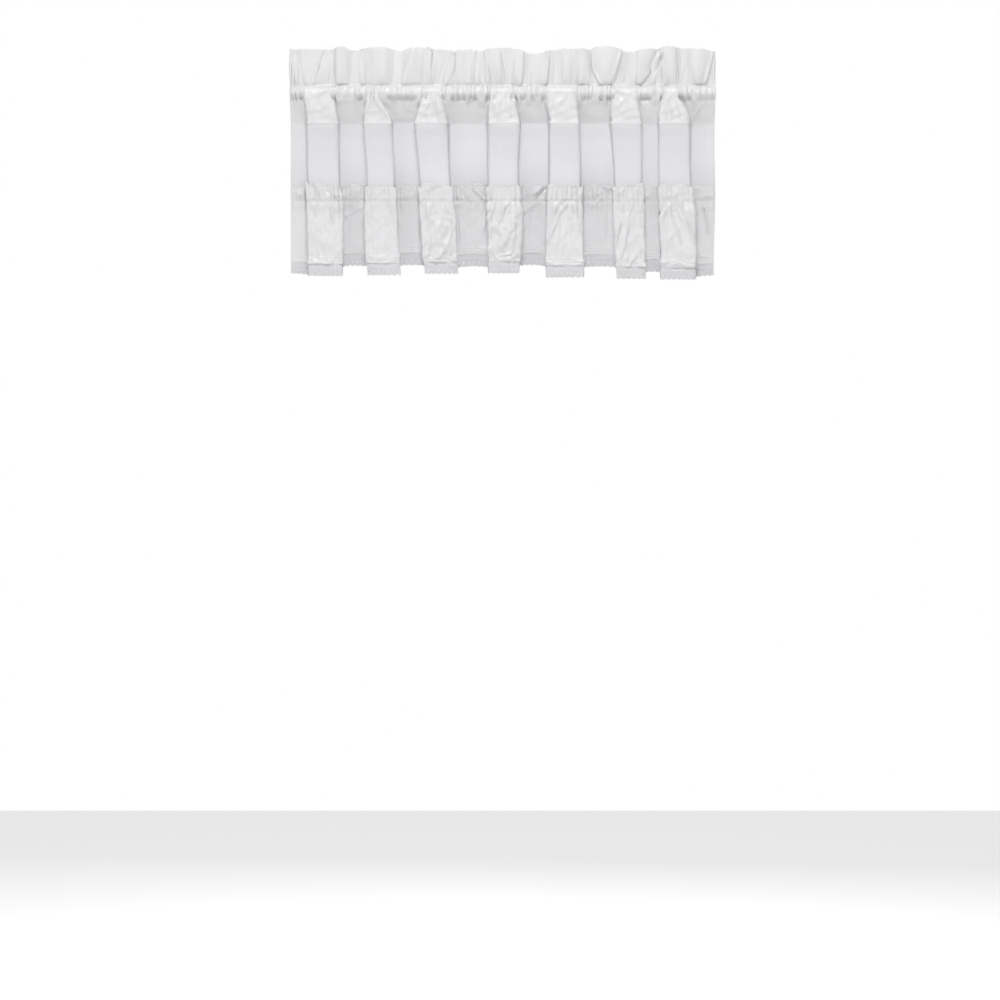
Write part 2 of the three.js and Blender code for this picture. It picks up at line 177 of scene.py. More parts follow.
# How far the cloth comes forward in a fold and goes back in a hollow at each height, and how far the sides of
# a fold curl over the hollows beside it.
LEVELS = np.array([
    (-265, 16, 12, 9.5),
    (-205, 13.5, 10, 8.5),
    (-152, 11, 8, 7.5),
    (-100, 8, 5.5, 7),
    (-60, 10.5, 6.5, 7),
    (-42, 12, 6.5, 5.0),
    (0, 11, 5, 2),
], float)
FRILL_FORWARD, FRILL_BACK, FRILL_CURL = 2.4, 2.4, 0.8
FRILL_RISE = 0.5  # power of the height by which the frill's folds open above the rod


def through(xs, ys, x):
    """A smooth curve through the points (xs, ys), read at x: a cubic between two points. The slope at a point
    is the harmonic mean of those on both sides, and level at a peak, so the curve never overshoots."""
    xs, ys = np.asarray(xs, float), np.asarray(ys, float)
    chord = np.diff(ys) / np.diff(xs)
    before, after = np.append(chord[0], chord), np.append(chord, chord[-1])
    level = before * after <= 0
    slope = np.where(level, 0, 2 * before * after / np.where(level, 1, before + after))
    i = np.clip(np.searchsorted(xs, x, side="right") - 1, 0, len(xs) - 2)
    span = xs[i + 1] - xs[i]
    t = np.clip((x - xs[i]) / span, 0, 1)
    u = 1 - t
    ends = ys[i] * u * u * (1 + 2 * t) + ys[i + 1] * t * t * (1 + 2 * u)
    return ends + span * (slope[i] * t * u * u - slope[i + 1] * t * t * u)


def ease(low, high, x):
    """0 below low and 1 above high, with a smooth step between: three squares less two cubes."""
    t = np.clip((x - low) / (high - low), 0, 1)
    return t * t * (3 - 2 * t)


def bell(middle, width, x):
    """1 in the middle and less on both sides, as a normal curve of that width."""
    return np.exp(-((x - middle) / width) ** 2)


def edge_phases(folds):
    """The phase of each edge of a row of folds, a half turn to a fold and to a hollow, from mid hollow to mid
    hollow."""
    edges = np.ravel([((2 * i + 0.5) * np.pi, (2 * i + 1.5) * np.pi) for i in range(len(folds))])
    return np.concatenate([[0], edges, [2 * len(folds) * np.pi]])


def edge_places(folds, left, end):
    """The places of the same edges: two columns of a table, between the two ends of the cloth."""
    return np.concatenate([[-end], folds[:, left:left + 2].ravel(), [end]])


BODY_PHASES = edge_phases(FOLDS)
BODY_PLACES = edge_places(FOLDS, 2, HALF_WIDTH)
ROD_SHIFTS = edge_places(FOLDS, 0, HALF_WIDTH) - BODY_PLACES
HEM_SHIFTS = edge_places(FOLDS, 4, HALF_HEM) - BODY_PLACES
SIDE_CURLS = np.concatenate([[1], FOLDS[:, 6:8].ravel(), [1]])
FRILL_PHASES = edge_phases(FRILL_FOLDS)
FRILL_ON_ROD = edge_places(FRILL_FOLDS, 0, HALF_WIDTH)
FRILL_AT_TOP = edge_places(FRILL_FOLDS, 2, HALF_WIDTH)
FRILL_DIPS = np.append(FIRST_DIP, FRILL_FOLDS[:, 6])


def along_folds(phase, folds, hollows, steepness=STEEPNESS):
    """A value that is `hollows` in the middle of a hollow and `folds` in the middle of a fold, and eases
    between as the foldness does."""
    k = np.floor(phase / (2 * np.pi) + 0.5).astype(int)
    side = np.where(phase < 2 * np.pi * k, k - 1, k)
    fold = folds[np.clip(side, 0, len(folds) - 1)]
    hollow = hollows[np.clip(k, 0, len(hollows) - 1)]
    return hollow + (fold - hollow) * foldness(phase, steepness)


def swing(phase, steepness=STEEPNESS):
    """From -1 in front to 1 behind, with a flat front and back and steep sides: a hyperbolic tangent of the
    cosine."""
    return np.tanh(steepness * np.cos(phase)) / np.tanh(steepness)


def foldness(phase, steepness=STEEPNESS):
    """1 on the front of a fold and 0 in a hollow."""
    return (1 - swing(phase, steepness)) / 2


def gather(phase):
    """The small uneven gathers that run down the whole cloth: from -1 to 1, and half of that in a hollow."""
    return (0.5 + 0.5 * foldness(phase)) * np.sin(GATHERS * phase + np.sin(GATHER_DRIFT * phase))


def body(x, phase, z):
    """The cloth below the rod, where x and phase are its place at the pocket's seam and z its height: the
    folds spread from the rod to the seam and on to the hem and deepen, their sides curl over the hollows as
    the sine of twice the phase, and their edges wander a little."""
    forward, back, curl = [through(LEVELS[:, 0], LEVELS[:, k], z) for k in (1, 2, 3)]
    fall = np.clip((z - POCKET_SEAM) / (LEVELS[0, 0] - POCKET_SEAM), 0, 1)
    shift = through(BODY_PHASES, ROD_SHIFTS, phase) * ease(POCKET_SEAM, 0, z)
    shift = shift + through(BODY_PHASES, HEM_SHIFTS, phase) * fall
    wander = WANDER * ease(POCKET_SEAM, WANDER_FULL, z) * np.sin(1.3 * phase)
    shift = shift + wander * np.sin(z / WANDER_WAVE + phase)
    curl = curl * through(BODY_PHASES, SIDE_CURLS, phase)
    depth = (back - forward) / 2 + (back + forward) / 2 * swing(phase)
    full = along_folds(phase, FOLDS[:, 8], HOLLOWS[:, 0])
    return np.stack(np.broadcast_arrays(x + shift + curl * np.sin(2 * phase), depth * full, z), axis=-1)


def facing(grid):
    """Which way each point of a grid looks, towards the room: its run rightwards crossed with its run up."""
    across, up = np.gradient(grid, axis=1), np.gradient(grid, axis=0)
    normal = np.cross(across, up)
    return normal / np.linalg.norm(normal, axis=-1, keepdims=True)


def facing_level(grid):
    """The same with the tilt taken out."""
    normal = facing(grid) * (1, 1, 0)
    return normal / np.linalg.norm(normal, axis=-1, keepdims=True)


def cloth_columns(count, *levels):
    """Places on the rod, evenly spaced along the cloth: each level turns places into points, and its run is
    added up, and the mean of the levels' runs is shared out evenly. Also gives each column's share."""
    x = np.linspace(-HALF_WIDTH, HALF_WIDTH, FINE_PLACES)
    run = np.zeros_like(x)
    for level in levels:
        steps = np.linalg.norm(np.diff(level(x), axis=0), axis=1)
        run[1:] += np.cumsum(steps) / steps.sum() / len(levels)
    share = np.linspace(0, 1, count + 1)
    return np.interp(share, run, x), share


class Puckers:
    """A row of small puckers of uneven width and height across a width of cloth. Each is a rounded ridge
    between two sharp valleys: a half sine to a power below one. `reach` is how far each runs, against 1."""

    def __init__(self, seed, width, narrowest, widest):
        draw = np.random.default_rng(seed)
        widths = draw.uniform(narrowest, widest, int(width / narrowest) + 2)
        self.edges = np.append(0, np.cumsum(widths))
        self.height = draw.uniform(0.45, 1.0, len(widths))
        self.reach = draw.uniform(0.35, 1.4, len(widths)) ** 1.5

    def __call__(self, s):
        i = np.clip(np.searchsorted(self.edges, s, side="right") - 1, 0, len(self.height) - 1)
        t = np.clip((s - self.edges[i]) / (self.edges[i + 1] - self.edges[i]), 0, 1)
        ridge = np.sin(np.pi * t) ** 0.7
        middle = np.clip(i + np.where(t < 0.5, -1, 1), 0, len(self.height) - 1)
        share = np.abs(t - 0.5)
        reach = self.reach[i] * (1 - share) + self.reach[middle] * share
        return self.height[i] * ridge, reach


def crease(grid, points, width, height):
    """A soft ridge along a line of points (x, z) on the face of a grid, or with a negative height a trough:
    the height over 1 plus the square of the distance against the width, fading out at the line's ends."""
    across, up = grid[..., 0], grid[..., 2]
    lift = np.zeros(across.shape)
    for (x0, z0), (x1, z1) in zip(points, points[1:]):
        length = np.hypot(x1 - x0, z1 - z0)
        along = ((across - x0) * (x1 - x0) + (up - z0) * (z1 - z0)) / length**2
        t = np.clip(along, 0, 1)
        far = np.hypot(across - x0 - t * (x1 - x0), up - z0 - t * (z1 - z0))
        lift = np.maximum(lift, 1 / (1 + (far / width) ** 2) ** 2)
    return height * lift


def crumples(across, up, seed, size):
    """Soft crumples, mostly from 0 to 1: five rows of ridges, each 1 less the size of a sine, in their own
    directions and bent by slower sines."""
    draw = np.random.default_rng(seed)
    total = 0
    for angle in draw.permutation(5) * np.pi / 5 + draw.uniform(-0.2, 0.2, 5):
        wave = draw.uniform(0.8, 1.5) * size
        sideways = 1.4 * np.sin(across / wave * 0.7 + draw.uniform(0, 6))
        bend = sideways + 1.1 * np.sin(up / wave * 0.9 + draw.uniform(0, 6))
        along = (across * np.cos(angle) + up * np.sin(angle)) * np.pi / wave
        total = total + (1 - np.abs(np.sin(along / 2 + bend))) ** 2 * draw.uniform(0.5, 1)
    return total / 2


def cloth_piece(name, grid, flat, share, rows):
    """A piece of cloth of one layer: a grid of points, rows by columns, as quads, with a map named cloth that
    holds each point's place on the flat cut in metres, and its thickness on both sides."""
    high, wide = grid.shape[:2]
    corner = np.arange(high * wide).reshape(high, wide)
    quads = np.stack([corner[:-1, :-1], corner[:-1, 1:], corner[1:, 1:], corner[1:, :-1]], axis=-1)
    quads = quads.reshape(-1, 4)
    mesh = bpy.data.meshes.new(name)
    mesh.from_pydata(grid.reshape(-1, 3) / 1000, [], quads.tolist())
    place = np.stack(np.broadcast_arrays(share * flat[0], rows[:, None] * flat[1]), axis=-1).reshape(-1, 2)
    mesh.uv_layers.new(name="cloth").data.foreach_set("uv", place[quads.ravel()].ravel())
    mesh.polygons.foreach_set("use_smooth", np.ones(len(quads), bool))
    piece = bpy.data.objects.new(name, mesh)
    bpy.context.collection.objects.link(piece)
    layer = piece.modifiers.new("thickness", "SOLIDIFY")
    layer.thickness = CLOTH / 1000
    layer.offset = 0
    return piece


def stack_rows(*parts):
    """Grids laid one after the other into one, and how far along the cloth each row lies, from 0 to 1."""
    grid = np.concatenate(parts)
    steps = np.linalg.norm(np.diff(grid, axis=0), axis=-1).mean(axis=1)
    run = np.append(0, np.cumsum(steps))
    return grid, run / run[-1]


heading_x, heading_share = cloth_columns(
    HEADING_COLUMNS,
    lambda x: body(x, through(BODY_PLACES, BODY_PHASES, x), POCKET_SEAM),
    lambda x: np.stack([x, FRILL_FORWARD * swing(through(FRILL_ON_ROD, FRILL_PHASES, x)) / 2], axis=1),
)
heading_phase = through(BODY_PLACES, BODY_PHASES, heading_x)
frill_x = heading_x + through(BODY_PHASES, ROD_SHIFTS, heading_phase)
frill_phase = through(FRILL_ON_ROD, FRILL_PHASES, frill_x)
heading_s = heading_share * HEADING_FLAT[0] * 1000

rod_puckers = Puckers(seed=3, width=1100, narrowest=5, widest=12)
back_puckers = Puckers(seed=8, width=1100, narrowest=7, widest=16)
frill_pleats = Puckers(seed=15, width=1100, narrowest=9, widest=34)

# Creases of the frill, in front view: the line's points (x, z), its width and its height.
FRILL_CREASES = [
    ([(-296, 58), (-294, 8)], 4.0, -1.6),
    ([(-285, 62), (-277, 8)], 1.5, 1.6),
    ([(-255, 58), (-270, 5)], 1.8, 2.0),
    ([(-244, 58), (-244, 12)], 7.0, -1.2),
    ([(-230, 63), (-229, 6)], 3.6, 2.2),
    ([(-206, 56), (-205, 8)], 6.0, -1.8),
    ([(-197, 60), (-197, 16), (-193, 4)], 1.4, 2.2),
    ([(-166, 60), (-167, 12)], 1.8, 1.6),
    ([(-155, 56), (-155, 10)], 5.0, -1.4),
    ([(-126, 60), (-139, 10)], 4.0, 2.4),
    ([(-114, 56), (-118, 20)], 3.0, 1.2),
    ([(-103, 58), (-101, 18)], 1.5, 2.0),
    ([(-91, 54), (-92, 16)], 6.0, -1.0),
    ([(-71, 56), (-71, 33), (-81, 8)], 1.8, 2.4),
    ([(-66, 52), (-66, 8)], 1.4, -1.6),
    ([(-40, 58), (-43, 18)], 1.8, 1.8),
    ([(-24, 56), (-17, 6)], 1.8, 2.2),
    ([(-2, 52), (5, 10)], 1.8, -1.6),
    ([(27, 56), (25, 6)], 1.8, 2.2),
    ([(64, 60), (60, 10)], 2.4, 2.2),
    ([(69, 58), (63, 8)], 1.6, -1.6),
    ([(86, 62), (86, 18)], 2.2, 1.4),
    ([(96, 58), (97, 12)], 4.0, -1.2),
    ([(109, 58), (109, 8)], 2.4, 1.4),
    ([(127, 58), (130, 31), (142, 6)], 1.7, 2.6),
    ([(150, 60), (150, 4)], 1.7, 2.4),
    ([(165, 54), (152, 16)], 2.4, 2.2),
    ([(178, 56), (172, 12)], 6.0, -1.2),
    ([(192, 56), (192, 22)], 1.5, 1.8),
    ([(223, 58), (208, 31), (194, 16)], 2.6, 3.0),
    ([(226, 52), (212, 24)], 2.2, -1.8),
    ([(227, 38), (229, 10)], 2.0, 1.8),
    ([(245, 58), (250, 8)], 1.8, -1.6),
    ([(264, 58), (252, 10)], 2.0, -1.6),
    ([(272, 50), (266, 20)], 5.0, 1.4),
    ([(296, 56), (282, 8)], 2.2, 2.2),
]


def pocket_wall(side, falls, turns):
    """One wall of the pocket in a section across the rod, from the seam up to the top of the rod. side is -1
    for the front wall and 1 for the back one. It hangs straight from where it leaves the rod, or the wider
    loop that a fold makes around it, down to the seam, worked out in a plane squeezed until the loop is
    round."""
    radius = ROD_RADIUS + POCKET_SLACK + CLOTH / 2
    stands = (1 + side * swing(heading_phase)) / 2
    across = radius + stands * (FRONT_LOOP if side < 0 else BACK_LOOP)
    squeeze = radius / across
    seam = (side * body(heading_x, heading_phase, POCKET_SEAM)[:, 1] + SEAM_HALF) * squeeze
    leaves = np.arctan2(POCKET_SEAM, seam) + np.arccos(radius / np.hypot(seam, POCKET_SEAM))
    ends = np.arccos(SEAM_HALF / across)
    fall = np.linspace(0, 1, falls, endpoint=False)[:, None]
    turn = leaves + (ends - leaves) * np.linspace(0, 1, turns)[:, None]
    y = np.concatenate([seam + (radius * np.cos(leaves) - seam) * fall, radius * np.cos(turn)])
    z = np.concatenate([POCKET_SEAM + (radius * np.sin(leaves) - POCKET_SEAM) * fall, radius * np.sin(turn)])
    wall = body(heading_x, heading_phase, z)
    wall[..., 1] = side * y / squeeze
    return wall


ROD_CLEARANCE = 0.2  # least distance left between the rod and the cloth


def clear_of_rod(wall):
    """The wall with each point that lies too near the rod's axis moved straight out from it, to leave the rod
    and half the cloth clear."""
    away = np.hypot(wall[..., 1], wall[..., 2])
    out = np.maximum(1, (ROD_RADIUS + CLOTH / 2 + ROD_CLEARANCE) / away)
    return wall * np.stack([np.ones_like(out), out, out], axis=-1)


PUCKER_DEPTH = 3.4
PUCKER_ON_FOLD = 0.12  # share of it that is left on the front of a fold
PUCKER_RUN, PUCKER_END = 12.0, 3.0  # how far a pucker runs down: times its reach, and added for all
POCKET_LIP = 1.3  # how far the lower edge of the heading stands out on a fold
FOLD_BULGE = 1.4  # how far a fold's front bulges between the rod and the seam
POCKET_CRUMPLE = 2.3
MEAN_CRUMPLE = 0.4  # taken off the crumples, so that they go both ways

# The row of dashes along the rod: where they end, the height at which they stand out, how fast that falls
# off above and below, how much the puckers add, and what is left of them all along a hollow. Below them lies
# a shaded trough, and between them the cloth of a hollow swells: amount, height and width.
DASH_END = (-1.4, 0.8)
LEDGE_HEIGHT, LEDGE_ABOVE, LEDGE_BELOW = -1.0, 6.0, 3.4
LEDGE_PUCKER = 2.6
LEDGE_IN_HOLLOW = 0.12
TROUGH, TROUGH_HEIGHT, TROUGH_WIDTH = 5.0, -8.6, 2.8
TROUGH_PUCKER = 0.9
SWELL, SWELL_HEIGHT, SWELL_WIDTH = 1.8, -10.0, 6.0

# The frill: its rows, the steepness of its upper edge, its pleats, and how it billows between foot and edge.
FRILL_ROWS = 22
FRILL_EDGE_STEEPNESS = 0.4
PLEAT_DEPTH = 1.1
PLEAT_RISE = 1.4  # how far a pleat raises the upper edge
BILLOW, BILLOW_WAVE, BILLOW_DRIFT = 8.0, 5.0, 17.0
BACK_PUCKER, BACK_PUCKER_WIDTH = 0.8, 9.0  # depth of the puckers behind against those in front, and width

# The rows below the pocket's seam: how far down, against its width, and how far out the front layer's face
# lies there, against SEAM_HALF.
SEAM_ROWS = np.array([1, 0.93, 0.5])[:, None]
SEAM_FACES = np.array([0.72, 0.74, 0.9])[:, None, None]

# Creases of the pocket's front wall, as the frill's.
POCKET_CREASES = [
    ([(-268, -4), (-240, 6)], 3.0, 1.6),
    ([(-251, -16), (-237, -40)], 2.2, 1.3),
    ([(-183, -6), (-197, -34)], 1.8, 1.8),
    ([(-183, -6), (-159, -37)], 2.2, 2.0),
    ([(-115, -4), (-125, -34)], 1.6, 1.5),
    ([(-100, -8), (-111, -25)], 1.6, 1.4),
    ([(-98, -8), (-86, -40)], 2.0, 1.6),
    ([(-19, 3), (-8, -34)], 1.8, 1.6),
    ([(60, 0), (70, -10), (66, -30)], 2.0, 1.2),
    ([(82, -18), (100, -24)], 5.0, -1.5),
    ([(161, 3), (191, -6)], 2.8, 1.6),
    ([(157, -8), (153, -34)], 1.8, 1.4),
    ([(190, -4), (195, -16)], 1.8, 1.4),
    ([(244, -3), (264, -40)], 2.0, 2.2),
    ([(280, -16), (270, -34)], 1.8, 1.8),
    ([(225, -6), (221, -34)], 1.8, 1.2),
]

# Where the puckers stand furthest off the rod and shade the cloth below: from and to along the rod, and how
# deep the shaded hollow is.
DASHES = np.array([
    (-300, -281, 0.7), (-280, -277, 1.0), (-237, -227, 1.0), (-210, -204, 1.0), (-188, -184, 0.8),
    (-176, -171, 0.9), (-147, -133, 1.0), (-126, -114, 0.7), (-83, -71, 0.6), (-64, -50, 1.0),
    (-47, -39, 0.9), (-28, -18, 0.9), (-16, -8, 0.5), (17, 22, 1.0), (27, 31, 1.0),
    (36, 41, 0.8), (47, 50, 0.6), (58, 69, 0.7), (118, 128, 0.6), (136, 139, 1.0),
    (144, 158, 0.9), (201, 209, 1.0), (217, 224, 1.0), (262, 279, 1.0), (284, 300, 0.6),
], float)

puckers, reach = rod_puckers(heading_s)
dashes = sum(
    depth * ease(*DASH_END, heading_x - left) * ease(*DASH_END, right - heading_x)
    for left, right, depth in DASHES
)
on_fold = foldness(heading_phase)
in_hollow = 1 - on_fold
pucker_weight = PUCKER_ON_FOLD + (1 - PUCKER_ON_FOLD) * in_hollow

front_wall = pocket_wall(-1, falls=16, turns=12)
z = front_wall[..., 2]
near_rod = bell(0, PUCKER_RUN * reach + PUCKER_END, np.clip(-z, 0, None)) * ease(12, 5, z)
ledge = np.where(z > LEDGE_HEIGHT, bell(LEDGE_HEIGHT, LEDGE_ABOVE, z), bell(LEDGE_HEIGHT, LEDGE_BELOW, z))
lift = PUCKER_DEPTH * pucker_weight * puckers * near_rod
lift += (LEDGE_IN_HOLLOW * in_hollow + dashes) * (1 + LEDGE_PUCKER * puckers) * ledge
lift += SWELL * (1 - np.clip(dashes, 0, 1)) * in_hollow * bell(SWELL_HEIGHT, SWELL_WIDTH, z)
lift -= dashes * TROUGH * (1 - TROUGH_PUCKER * puckers**2) * bell(TROUGH_HEIGHT, TROUGH_WIDTH, z)
bulge = FOLD_BULGE * np.sin(np.pi * ease(-40, 4, z))
lift += on_fold * (bulge + POCKET_LIP * (1 - ease(POCKET_SEAM, -40, z)))
rough = crumples(front_wall[..., 0], z, seed=4, size=8) - MEAN_CRUMPLE
lift += POCKET_CRUMPLE * (0.3 + 0.7 * on_fold) * rough * ease(POCKET_SEAM, -37, z) * ease(8, -4, z)
for points, width, height in POCKET_CREASES:
    lift = lift + crease(front_wall, points, width, height)
front_wall = clear_of_rod(front_wall + facing(front_wall) * lift[..., None])

share_up = np.linspace(0, 1, FRILL_ROWS)[:, None]
pleats, pleat_reach = frill_pleats(heading_s)
top = along_folds(frill_phase, FRILL_FOLDS[:, 5], FRILL_DIPS, FRILL_EDGE_STEEPNESS)
top = top + PLEAT_RISE * (pleats - 0.5)
full = along_folds(frill_phase, FRILL_FOLDS[:, 4], np.ones(len(FRILL_DIPS)), FRILL_STEEPNESS)
frill_swing = swing(frill_phase, FRILL_STEEPNESS)
depth = ((FRILL_BACK - FRILL_FORWARD) / 2 + (FRILL_BACK + FRILL_FORWARD) / 2 * frill_swing) * full
billow = BILLOW * share_up * (1 - share_up) * np.sin(frill_x / BILLOW_WAVE + np.sin(frill_x / BILLOW_DRIFT))
frill_foot = ROD_RADIUS + POCKET_SLACK + CLOTH
frill = np.stack(np.broadcast_arrays(
    frill_x + (through(FRILL_PHASES, FRILL_AT_TOP, frill_phase) - frill_x) * share_up
    + FRILL_CURL * share_up * np.sin(2 * frill_phase),
    depth * share_up ** FRILL_RISE + billow,
    frill_foot + (top - frill_foot) * share_up,
), axis=-1)
z = frill[..., 2] - frill_foot
above_rod = np.exp(-(z / (2 * PUCKER_RUN * reach + PUCKER_END)))
lift = PUCKER_DEPTH * (0.3 + 0.7 * pucker_weight) * puckers * above_rod * (0.35 + 0.65 * ease(0, 4, z))
lift += PLEAT_DEPTH * pleats * ease(0, 12, z) * (0.35 + 0.65 * np.exp(-z / (50 * pleat_reach)))
for points, width, height in FRILL_CREASES:
    lift = lift + crease(frill, points, width, height)
frill += facing(frill) * lift[..., None]
look = facing(frill)
puff = (SEAM_HALF * (0.7 + 0.9 * np.sin(np.pi * share_up) ** 2))[..., None]
frill_front, frill_back = frill + look * puff, frill - look * puff
turn = np.linspace(0, np.pi, 6)[1:-1, None, None]
crown = frill[-1] + puff[-1] * (look[-1] * np.cos(turn) + np.array([0, 0, 1]) * np.sin(turn))

back_wall = pocket_wall(1, falls=6, turns=6)
z = back_wall[..., 2]
lift = PUCKER_DEPTH * BACK_PUCKER * back_puckers(heading_s)[0]
lift = lift * bell(0, BACK_PUCKER_WIDTH, z) * ease(9.5, 5, z)
back_wall = clear_of_rod(back_wall - facing(back_wall) * lift[..., None])

seam_middle = body(heading_x, heading_phase, POCKET_SEAM - SEAM_WIDTH * SEAM_ROWS)
seam_out = facing_level(seam_middle) * SEAM_HALF
seam_lip = facing_level(seam_middle) * (POCKET_LIP * on_fold[:, None])
heading_grid, heading_rows = stack_rows(
    seam_middle + seam_out * SEAM_FACES + seam_lip, front_wall, frill_front[1:], crown,
    frill_back[:0:-1][::2], back_wall[::-1], (seam_middle - seam_out)[::-1],
)
heading = cloth_piece("heading_cloth", heading_grid, HEADING_FLAT, heading_share, heading_rows)


class Value:
    """A socket that a material works with. Sums, differences and products add Math nodes."""

    def __init__(self, shader, socket):
        self.shader, self.socket = shader, socket

    def math(self, operation, *others):
        return self.shader.node("Math", {"operation": operation}, dict(enumerate((self, *others))))

    def __add__(self, other):
        return self.math("ADD", other)

    def __mul__(self, other):
        return self.math("MULTIPLY", other)

    def __sub__(self, other):
        return self.math("SUBTRACT", other)

    def __rsub__(self, other):
        return self.shader.node("Math", {"operation": "SUBTRACT"}, {0: other, 1: self})

    __radd__, __rmul__ = __add__, __mul__


class Shader:
    """A material, with one method that adds any node: its type, its settings and the values or links of its
    sockets."""

    def __init__(self, name):
        self.material = bpy.data.materials.new(name)
        self.material.use_nodes = True
        self.tree = self.material.node_tree
        self.tree.nodes.clear()

    def node(self, kind, settings=None, inputs=None, output=0):
        made = self.tree.nodes.new("ShaderNode" + kind)
        for key, value in (settings or {}).items():
            setattr(made, key, value)
        for key, value in (inputs or {}).items():
            if isinstance(value, Value):
                self.tree.links.new(value.socket, made.inputs[key])
            else:
                made.inputs[key].default_value = value
        return Value(self, made.outputs[output]) if len(made.outputs) else None


THREAD_PAIR = 0.0009  # metres for two threads
SLUB_SCALES = ((1400, 40, 1), (40, 1400, 1))  # of the faint lines along and across
# Painted shade: the heading is the same cotton as the panel and the ruffle, but its white is set a little
# darker.
HEADING_SHADED_WHITE = (0.77, 0.77, 0.78)
COTTON_WHITE = (0.80, 0.80, 0.81)  # of the panel and the ruffle


def tinted(shader, share, colour, darkest):
    """The colour where share is 1, and darkest of it where share is 0."""
    return shader.node(
        "Mix", {"data_type": "RGBA"},
        {0: share, 6: [c * darkest for c in colour] + [1], 7: list(colour) + [1]}, output=2,
    )


def cotton(name, colour, see_through):
    """White cotton in a plain weave: a thread each way every 0.45 mm, thicker and thinner threads that show
    as faint lines, and a little light from behind."""
    shader = Shader(name)
    place = shader.node("UVMap", {"uv_map": "cloth"})
    across = shader.node("SeparateXYZ", inputs={0: place}, output=0)
    along = shader.node("SeparateXYZ", inputs={0: place}, output=1)
    turns = 2 * np.pi / THREAD_PAIR
    weave = (across * turns).math("SINE") * (along * turns).math("SINE")
    threads = []
    for scale in SLUB_SCALES:
        drawn_out = shader.node("VectorMath", {"operation": "MULTIPLY"}, {0: place, 1: scale})
        threads.append(shader.node("TexNoise", {}, {"Vector": drawn_out, "Scale": 1.0, "Detail": 2.0}))
    slub = (threads[0] + threads[1]) * 0.5
    object_place = shader.node("TexCoord", output=3)
    crumple = shader.node("TexNoise", {}, {"Vector": object_place, "Scale": 90.0, "Detail": 3.0})
    tint = shader.node(
        "MapRange", {}, {"Value": slub, "From Min": 0.35, "From Max": 0.65, "To Min": 0.0, "To Max": 1.0}
    )
    shade = tinted(shader, tint, colour, 0.965)
    fine = shader.node("Bump", {}, {"Height": weave * 0.5 + slub, "Strength": 0.35, "Distance": 0.0001})
    bump = shader.node(
        "Bump", {}, {"Height": crumple, "Strength": 0.7, "Distance": 0.0007, "Normal": fine}
    )
    front = shader.node("BsdfPrincipled", {}, {
        "Base Color": shade, "Roughness": 0.38, "Coat Weight": 0.35, "Coat Roughness": 0.25, "Normal": bump,
    })
    through_cloth = shader.node("BsdfTranslucent", {}, {"Color": shade, "Normal": bump})
    both = shader.node("MixShader", {}, {0: see_through, 1: front, 2: through_cloth})
    shader.node("OutputMaterial", {}, {"Surface": both})
    return shader.material


heading_cotton = cotton("heading_cotton", HEADING_SHADED_WHITE, see_through=0.15)
heading.data.materials.append(heading_cotton)
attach(heading, "root")
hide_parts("heading")


# ---------------------------------------------------------------------------------------------------------
# Panel: the plain body of the valance, of the same cotton in one layer. Its upper edge is sewn between the
# two layers of the heading, and its own hem hides behind the ruffle.
PANEL_HEM = -166.0
PANEL_TOP = -41.0
PANEL_FLAT = (0.94, 0.13)
PANEL_COLUMNS = 560
SIDE_HEM = 9.0  # width of the hems at both ends
SIDE_HEM_STEP, SIDE_HEM_LIFT = 0.6, 0.5
PANEL_CRUMPLE = 0.35
PANEL_ROWS = 44  # from the hem up to EVEN_TOP
EVEN_TOP = -50.0

# Close to the heading's lower edge the panel has closer rows and rises to meet it: their heights, how far it
# rises besides the lip, and between which heights that starts and ends.
EDGE_ROWS = [-48, -46.5, -45.2, -44.2, -44.0, -43.9, -43.0]
EDGE_RISE = 0.5
RISE_START, RISE_END = (-66, -46), (-44.2, -43.9)


def lifted(surface, phase, lift):
    """A surface moved the way it faces by the lift: all of it in front and behind, and less at the sides of a
    fold, by the square of the swing."""
    return surface + facing(surface) * (lift * swing(phase) ** 2)[..., None]


panel_x, panel_share = cloth_columns(
    PANEL_COLUMNS, lambda x: body(x, through(BODY_PLACES, BODY_PHASES, x), PANEL_HEM)
)
panel_phase = through(BODY_PLACES, BODY_PHASES, panel_x)
panel_heights = np.concatenate([np.linspace(PANEL_HEM, EVEN_TOP, PANEL_ROWS), EDGE_ROWS, [PANEL_TOP]])
panel_heights = panel_heights[:, None]
panel_surface = body(panel_x, panel_phase, panel_heights)
from_side = np.minimum(panel_share, 1 - panel_share) * PANEL_FLAT[0] * 1000
side_hem = ease(SIDE_HEM + SIDE_HEM_STEP, SIDE_HEM, from_side)
rough = crumples(panel_surface[..., 0], panel_heights, seed=12, size=40)
lift = SIDE_HEM_LIFT * side_hem + PANEL_CRUMPLE * rough
rise = EDGE_RISE + POCKET_LIP * foldness(panel_phase)
lift += rise * (1 - ease(*RISE_END, panel_heights)) * ease(*RISE_START, panel_heights)
panel_surface = lifted(panel_surface, panel_phase, lift)
panel_grid, panel_rows = stack_rows(panel_surface)
panel = cloth_piece("panel_cloth", panel_grid, PANEL_FLAT, panel_share, panel_rows)
panel.data.materials.append(cotton("panel_cotton", COTTON_WHITE, see_through=0.5))
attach(panel, "root")
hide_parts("panel")


